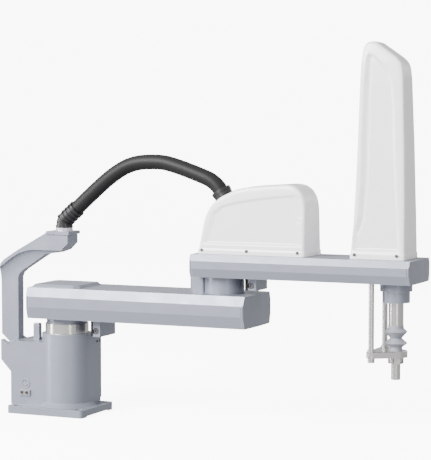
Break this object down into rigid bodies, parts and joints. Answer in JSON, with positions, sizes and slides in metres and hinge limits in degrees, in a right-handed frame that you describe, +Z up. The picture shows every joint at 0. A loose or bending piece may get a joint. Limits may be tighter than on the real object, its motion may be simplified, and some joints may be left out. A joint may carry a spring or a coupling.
{
  "type": "scara robot arm",
  "caption": "Four-axis SCARA robot arm: cast base with cable mast, two silver box links, white motor hood and tall shaft cover, vertical tool shaft with guide rods and bellows.",
  "frame": {"origin": "on the first joint's axis, at the base's mounting face", "axes": "+X from the rear cabinet along both arms to the tool shaft, +Z up along the joint axes, +Y to the left of +X"},
  "size_m": [1.022, 0.1568, 0.8415],
  "materials": {
    "body": "satin silver-grey enamel, finely textured",
    "panel": "brushed sheet",
    "black_plastic": "moulded",
    "zinc": "nickel plated",
    "blue_plastic": "moulded",
    "screw": "zinc plated socket heads",
    "brass": "turned",
    "light_metal": "turned and clear anodised",
    "charcoal": "moulded, slightly glossy",
    "steel": "ground",
    "steel_dark": "machined, oiled",
    "motor": "black powder coat",
    "rubber": "matt black",
    "hose": "braided sleeve",
    "white": "glossy moulded cover",
    "belt": "toothed, matt",
    "bellows": "moulded grey elastomer"
  },
  "bodies": {
    "base": {"base_casting": "body", "rear_panel": "panel", "power_connector": "black_plastic", "signal_connector": "zinc", "air_fittings": "blue_plastic", "base_screws": "screw", "earth_screws": "brass", "j1_stop_post": "body", "cable_mast": "body", "hose_adapter": "light_metal", "hose_elbow": "charcoal", "j1_ring": "steel", "j1_reducer": "steel_dark", "j1_motor": "motor"},
    "arm1": {"j1_neck": "body", "arm1_extrusion": "body", "arm1_cap_rear": "body", "arm1_cap_front": "body", "arm1_cover": "body", "j1_stop_block": "body", "j1_stop_bumper": "rubber", "j1_stop_bolts": "screw", "j2_fixed_stop": "body", "hose_lower": "hose", "hose_upper": "hose"},
    "arm2": {"j2_neck": "body", "j2_stop_block": "body", "j2_stop_bumper": "rubber", "j2_stop_bolts": "screw", "arm2_extrusion": "body", "arm2_cap_rear": "body", "arm2_cap_front": "body", "arm2_screws": "screw", "hood_cover": "white", "tower_cover": "white", "hose_connector": "charcoal", "j2_motor": "motor", "z_motor": "motor", "r_motor": "motor", "z_belt": "belt", "r_belt": "belt", "flange_housing": "body", "guide_sleeve": "steel", "guide_rods": "steel", "yoke_plate": "steel", "rod_collars": "steel", "shaft_bellows": "bellows"},
    "j1_rotor": {"j1_rotor": "steel_dark"},
    "j2_rotor": {"j2_rotor": "steel_dark"},
    "z_nut": {"z_nut_pulley": "steel_dark"},
    "r_nut": {"r_nut_pulley": "steel_dark"},
    "z_drive": {"z_motor_pulley": "light_metal"},
    "r_drive": {"r_motor_pulley": "light_metal"},
    "z_carriage": {"shaft_top_bearing": "steel_dark"},
    "tool_shaft": {"tool_shaft": "steel", "shaft_clamp": "steel", "clamp_screw": "screw"}
  },
  "joints": [
    {"name": "j1", "type": "hinge", "parent": "base", "child": "arm1", "pos_m": [0, 0, 0.2], "axis": [0, 0, 1], "range_deg": [-130, 130], "deforming": ["hose_lower"]},
    {"name": "j2", "type": "hinge", "parent": "arm1", "child": "arm2", "pos_m": [0.4, 0, 0.3], "axis": [0, 0, 1], "range_deg": [-135, 135], "deforming": ["hose_upper"]},
    {"name": "z_axis", "type": "slide", "parent": "arm2", "child": "z_carriage", "axis": [0, 0, 1], "range_m": [-0.355, 0]},
    {"name": "tool_roll", "type": "hinge", "parent": "z_carriage", "child": "tool_shaft", "pos_m": [0.8, 0, 0.2], "axis": [0, 0, 1], "range_deg": [-360, 360]},
    {"name": "j1_rotor_spin", "type": "hinge", "parent": "base", "child": "j1_rotor", "pos_m": [0, 0, 0.16], "axis": [0, 0, 1], "range_deg": [-6600, 6600]},
    {"name": "j2_rotor_spin", "type": "hinge", "parent": "arm2", "child": "j2_rotor", "pos_m": [0.4, 0, 0.32], "axis": [0, 0, 1], "range_deg": [-6900, 6900]},
    {"name": "z_nut_spin", "type": "hinge", "parent": "arm2", "child": "z_nut", "pos_m": [0.8, 0, 0.35], "axis": [0, 0, 1], "range_deg": [-3300, 3300]},
    {"name": "z_drive_spin", "type": "hinge", "parent": "arm2", "child": "z_drive", "pos_m": [0.5, 0, 0.35], "axis": [0, 0, 1], "range_deg": [-6000, 6000]},
    {"name": "r_nut_spin", "type": "hinge", "parent": "arm2", "child": "r_nut", "pos_m": [0.8, 0, 0.365], "axis": [0, 0, 1], "range_deg": [-360, 360]},
    {"name": "r_drive_spin", "type": "hinge", "parent": "arm2", "child": "r_drive", "pos_m": [0.572, 0, 0.365], "axis": [0, 0, 1], "range_deg": [-650, 650]}
  ],
  "couplings": [
    {"joint": "j1_rotor_spin", "follows": "j1", "ratio": -50},
    {"joint": "j2_rotor_spin", "follows": "j2", "ratio": -50},
    {"joint": "z_nut_spin", "follows": "z_axis", "rad_per_m": 157.08},
    {"joint": "z_drive_spin", "follows": "z_axis", "rad_per_m": 282.74},
    {"joint": "r_nut_spin", "follows": "tool_roll", "ratio": 1},
    {"joint": "r_drive_spin", "follows": "tool_roll", "ratio": 1.8}
  ]
}
